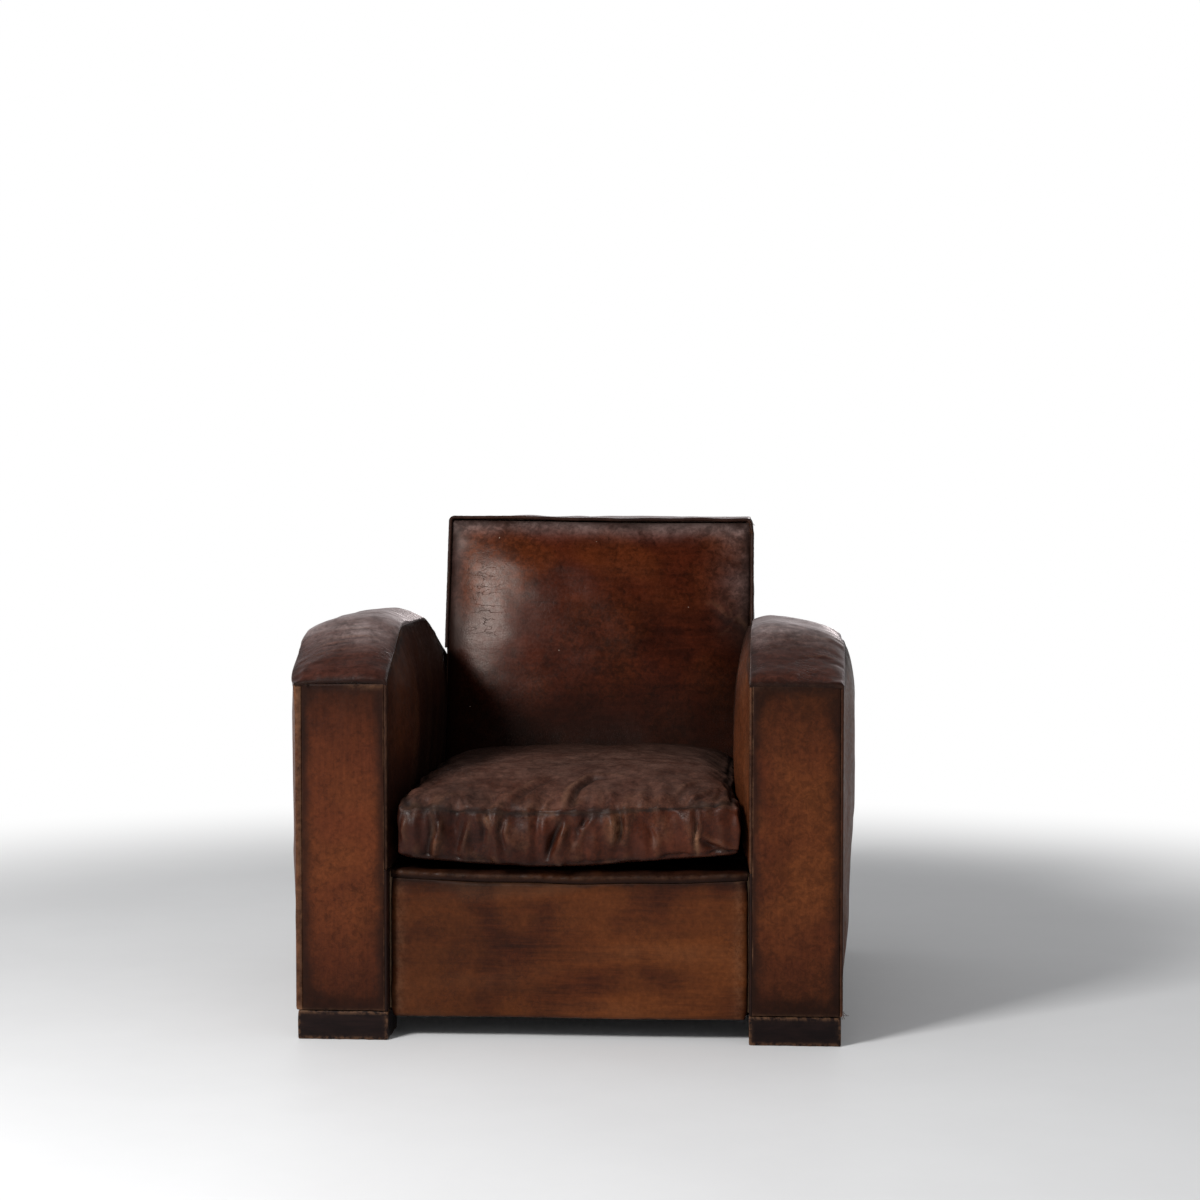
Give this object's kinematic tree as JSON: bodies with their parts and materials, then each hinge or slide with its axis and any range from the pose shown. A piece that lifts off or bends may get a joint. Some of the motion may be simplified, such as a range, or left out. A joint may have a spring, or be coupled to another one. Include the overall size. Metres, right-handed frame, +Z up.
{
  "type": "worn club chair",
  "caption": "Low square-backed leather club chair with wide rounded arms, a loose seat cushion and block feet; sprung timber frame under worn brown hide.",
  "frame": {"origin": "on the floor, under the middle of the chair's bounding box", "axes": "+X to the right as seen from in front, +Y towards the back (the front faces -Y), +Z up"},
  "size_m": [0.8454, 0.8498, 0.7691],
  "materials": {
    "stained_wood": "dark stained, rubbed pale at the edges",
    "timber": "raw beech, unfinished",
    "webbing": "jute webbing",
    "spring_steel": "dull tempered wire",
    "hessian": "coarse hessian",
    "dust_cloth": "thin black cloth",
    "stuffing": "hair and fibre stuffing under calico",
    "facing_leather": "orange-brown, rubbed, dark at the edges",
    "arm_leather": "dark patinated hide, matte and creased on the arm tops",
    "back_leather": "mottled red-brown, glossy, finely cracked",
    "piping": "dark cord covered in hide, frayed at one corner",
    "apron_leather": "orange-brown with dark horizontal streaks",
    "seat_leather": "matte grey-brown, creased and scuffed"
  },
  "bodies": {
    "root": {"front_foot_right": "stained_wood", "front_foot_left": "stained_wood", "rear_foot_right": "stained_wood", "rear_foot_left": "stained_wood", "arm_front_board_right": "timber", "arm_front_board_left": "timber", "arm_rear_board_right": "timber", "arm_rear_board_left": "timber", "arm_top_board_right": "timber", "arm_top_board_left": "timber", "side_rail_right": "timber", "side_rail_left": "timber", "arm_tacking_rail_right": "timber", "arm_tacking_rail_left": "timber", "back_post_right": "timber", "back_post_left": "timber", "front_rail": "timber", "back_rail": "timber", "back_top_rail": "timber", "back_lower_rail": "timber", "webbing_lengthwise_1": "webbing", "webbing_lengthwise_2": "webbing", "webbing_lengthwise_3": "webbing", "webbing_crosswise_1": "webbing", "webbing_crosswise_2": "webbing", "webbing_crosswise_3": "webbing", "seat_spring_1_1": "spring_steel", "seat_spring_1_2": "spring_steel", "seat_spring_1_3": "spring_steel", "seat_spring_2_1": "spring_steel", "seat_spring_2_2": "spring_steel", "seat_spring_2_3": "spring_steel", "seat_spring_3_1": "spring_steel", "seat_spring_3_2": "spring_steel", "seat_spring_3_3": "spring_steel", "spring_cover": "hessian", "dust_cloth": "dust_cloth", "deck_pad": "stuffing", "arm_inner_pad_right": "stuffing", "arm_inner_pad_left": "stuffing", "arm_top_pad_right": "stuffing", "arm_top_pad_left": "stuffing", "back_pad": "stuffing", "arm_facing_right": "facing_leather", "arm_facing_left": "facing_leather", "arm_top_cover_right": "arm_leather", "arm_top_cover_left": "arm_leather", "inside_arm_cover_right": "arm_leather", "inside_arm_cover_left": "arm_leather", "outside_arm_cover_right": "arm_leather", "outside_arm_cover_left": "arm_leather", "back_side_border_right": "back_leather", "back_side_border_left": "back_leather", "back_top_border": "back_leather", "inside_back_cover": "back_leather", "outside_back_cover": "back_leather", "back_piping": "piping", "front_apron": "apron_leather", "deck_lip": "apron_leather", "seat_cushion": "seat_leather"}
  },
  "joints": []
}
